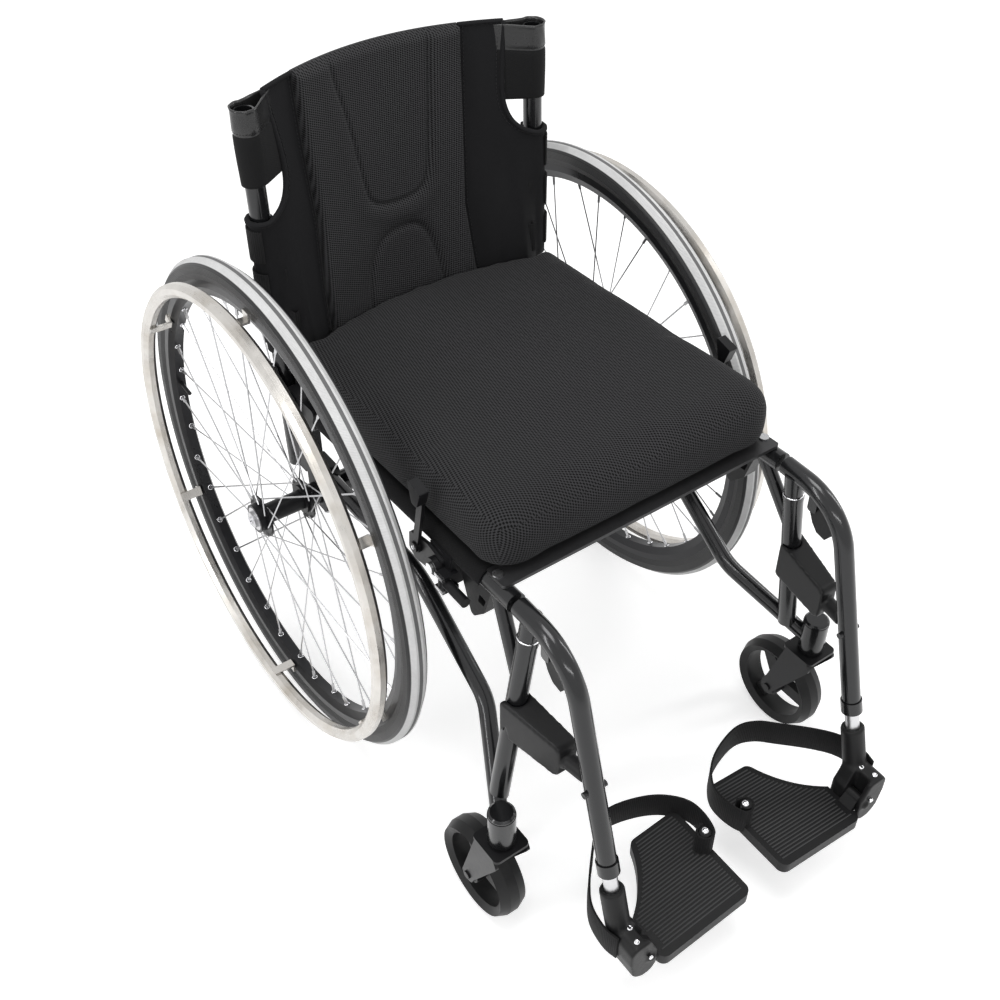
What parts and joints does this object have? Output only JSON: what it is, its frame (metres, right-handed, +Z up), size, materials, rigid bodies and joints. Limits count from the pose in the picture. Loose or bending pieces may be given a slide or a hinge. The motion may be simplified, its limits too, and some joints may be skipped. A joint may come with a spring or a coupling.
{
  "type": "rigid frame active wheelchair",
  "caption": "Rigid frame active wheelchair with cambered spoked drive wheels, handrims, swivel casters, cushion seat, sling back, and swing-away leg rests with flip-up footplates.",
  "frame": {"origin": "on the ground, under the middle of the whole chair", "axes": "+Z up, -Y towards the footplates (front), +X towards the sitter's left"},
  "size_m": [0.572, 0.9176, 0.765],
  "materials": {
    "frame_metal": "satin",
    "black_metal": "satin",
    "bright_metal": "polished",
    "alloy": "satin",
    "steel": "brushed",
    "tyre_rubber": "matt",
    "caster_rubber": "matt",
    "black_plastic": "matt",
    "grey_plastic": "matt",
    "seat_fabric": "knit",
    "back_fabric": "smooth",
    "mesh_fabric": "mesh",
    "webbing": "woven"
  },
  "bodies": {
    "frame": {"seat_rail_left": "frame_metal", "seat_rail_right": "frame_metal", "lower_tube_left": "frame_metal", "lower_tube_right": "frame_metal", "front_post_left": "frame_metal", "front_post_right": "frame_metal", "caster_housing_left": "frame_metal", "caster_housing_right": "frame_metal", "axle_tube": "frame_metal", "axle_clamps": "black_metal", "front_cross_bar": "black_metal", "back_brackets": "black_metal", "seat_sling": "back_fabric", "seat_cushion": "seat_fabric", "brake_mounts": "black_metal", "strap_anchors": "black_plastic", "frame_screws": "steel", "wheel_axles": "steel", "wheel_bearings": "steel"},
    "backrest": {"back_cane_left": "frame_metal", "back_cane_right": "frame_metal", "back_cross_tube": "frame_metal", "back_upholstery": "back_fabric", "back_pad": "mesh_fabric", "cane_sleeves": "back_fabric", "tension_straps": "webbing"},
    "wheel_left": {"tyre_left": "tyre_rubber", "rim_left": "black_metal", "spokes_left": "steel", "hub_left": "black_metal", "handrim_left": "alloy"},
    "quick_release_left": {"axle_button_left": "bright_metal"},
    "caster_left": {"caster_fork_left": "frame_metal"},
    "caster_roller_left": {"caster_wheel_left": "caster_rubber"},
    "brake_lever_left": {"brake_lever_left": "black_metal"},
    "brake_shoe_left": {"brake_shoe_left": "black_metal"},
    "leg_rest_left": {"hanger_tube_left": "frame_metal", "latch_block_left": "black_plastic"},
    "release_left": {"release_lever_left": "black_plastic"},
    "footrest_left": {"footrest_tube_left": "bright_metal", "footrest_bracket_left": "grey_plastic", "heel_strap_left": "webbing"},
    "footplate_left": {"footplate_left": "grey_plastic"},
    "wheel_right": {"tyre_right": "tyre_rubber", "rim_right": "black_metal", "spokes_right": "steel", "hub_right": "black_metal", "handrim_right": "alloy"},
    "quick_release_right": {"axle_button_right": "bright_metal"},
    "caster_right": {"caster_fork_right": "frame_metal"},
    "caster_roller_right": {"caster_wheel_right": "caster_rubber"},
    "brake_lever_right": {"brake_lever_right": "black_metal"},
    "brake_shoe_right": {"brake_shoe_right": "black_metal"},
    "leg_rest_right": {"hanger_tube_right": "frame_metal", "latch_block_right": "black_plastic"},
    "release_right": {"release_lever_right": "black_plastic"},
    "footrest_right": {"footrest_tube_right": "bright_metal", "footrest_bracket_right": "grey_plastic", "heel_strap_right": "webbing"},
    "footplate_right": {"footplate_right": "grey_plastic"}
  },
  "joints": [
    {"name": "backrest_fold", "type": "hinge", "parent": "frame", "child": "backrest", "pos_m": [0, 0.2183, 0.444], "axis": [1, 0, 0], "range_deg": [0, 60], "deforming": ["seat_cushion"]},
    {"name": "wheel_spin_left", "type": "hinge", "parent": "frame", "child": "wheel_left", "pos_m": [0.2366, 0.15425, 0.30452], "axis": [0.9997, 0, 0.0255], "continuous": true},
    {"name": "quick_release_press_left", "type": "slide", "parent": "frame", "child": "quick_release_left", "axis": [-0.9997, 0, -0.0255], "range_m": [0, 0.004], "stiffness_N_per_m": 400},
    {"name": "caster_swivel_left", "type": "hinge", "parent": "frame", "child": "caster_left", "pos_m": [0.2295, -0.28275, 0.15], "axis": [0, 0, 1], "continuous": true},
    {"name": "caster_roll_left", "type": "hinge", "parent": "caster_left", "child": "caster_roller_left", "pos_m": [0.2295, -0.24875, 0.06], "axis": [1, 0, 0], "continuous": true},
    {"name": "brake_pull_left", "type": "hinge", "parent": "frame", "child": "brake_lever_left", "pos_m": [0.198, -0.08975, 0.414], "axis": [1, 0, 0], "range_deg": [0, 50]},
    {"name": "brake_press_left", "type": "hinge", "parent": "frame", "child": "brake_shoe_left", "pos_m": [0.198, -0.14095, 0.4055], "axis": [0, 0, 1], "range_deg": [0, 90]},
    {"name": "leg_rest_swing_left", "type": "hinge", "parent": "frame", "child": "leg_rest_left", "pos_m": [0.1779, -0.25325, 0.403], "axis": [-0.155, 0, 0.9879], "range_deg": [0, 90]},
    {"name": "release_press_left", "type": "hinge", "parent": "leg_rest_left", "child": "release_left", "pos_m": [0.1755, -0.28575, 0.416], "axis": [1, 0, 0], "range_deg": [0, 20], "stiffness_Nm_per_rad": 0.1},
    {"name": "footrest_height_left", "type": "slide", "parent": "leg_rest_left", "child": "footrest_left", "axis": [0, -0.2832, -0.9591], "range_m": [-0.02, 0.03]},
    {"name": "footplate_flip_left", "type": "hinge", "parent": "footrest_left", "child": "footplate_left", "pos_m": [0.1595, -0.43575, 0.084], "axis": [0, 1, 0], "range_deg": [0, 65], "deforming": ["heel_strap_left"]},
    {"name": "wheel_spin_right", "type": "hinge", "parent": "frame", "child": "wheel_right", "pos_m": [-0.2366, 0.15425, 0.30452], "axis": [0.9997, 0, -0.0255], "continuous": true},
    {"name": "quick_release_press_right", "type": "slide", "parent": "frame", "child": "quick_release_right", "axis": [0.9997, 0, -0.0255], "range_m": [0, 0.004], "stiffness_N_per_m": 400},
    {"name": "caster_swivel_right", "type": "hinge", "parent": "frame", "child": "caster_right", "pos_m": [-0.2295, -0.28275, 0.15], "axis": [0, 0, 1], "continuous": true},
    {"name": "caster_roll_right", "type": "hinge", "parent": "caster_right", "child": "caster_roller_right", "pos_m": [-0.2295, -0.24875, 0.06], "axis": [1, 0, 0], "continuous": true},
    {"name": "brake_pull_right", "type": "hinge", "parent": "frame", "child": "brake_lever_right", "pos_m": [-0.198, -0.08975, 0.414], "axis": [1, 0, 0], "range_deg": [0, 50]},
    {"name": "brake_press_right", "type": "hinge", "parent": "frame", "child": "brake_shoe_right", "pos_m": [-0.198, -0.14095, 0.4055], "axis": [0, 0, -1], "range_deg": [0, 90]},
    {"name": "leg_rest_swing_right", "type": "hinge", "parent": "frame", "child": "leg_rest_right", "pos_m": [-0.1779, -0.25325, 0.403], "axis": [0.155, 0, 0.9879], "range_deg": [-90, 0]},
    {"name": "release_press_right", "type": "hinge", "parent": "leg_rest_right", "child": "release_right", "pos_m": [-0.1755, -0.28575, 0.416], "axis": [1, 0, 0], "range_deg": [0, 20], "stiffness_Nm_per_rad": 0.1},
    {"name": "footrest_height_right", "type": "slide", "parent": "leg_rest_right", "child": "footrest_right", "axis": [0, -0.2832, -0.9591], "range_m": [-0.02, 0.03]},
    {"name": "footplate_flip_right", "type": "hinge", "parent": "footrest_right", "child": "footplate_right", "pos_m": [-0.1595, -0.43575, 0.084], "axis": [0, 1, 0], "range_deg": [-65, 0], "deforming": ["heel_strap_right"]}
  ],
  "couplings": [
    {"joint": "brake_press_left", "follows": "brake_pull_left", "ratio": 1.8},
    {"joint": "brake_press_right", "follows": "brake_pull_right", "ratio": 1.8}
  ]
}
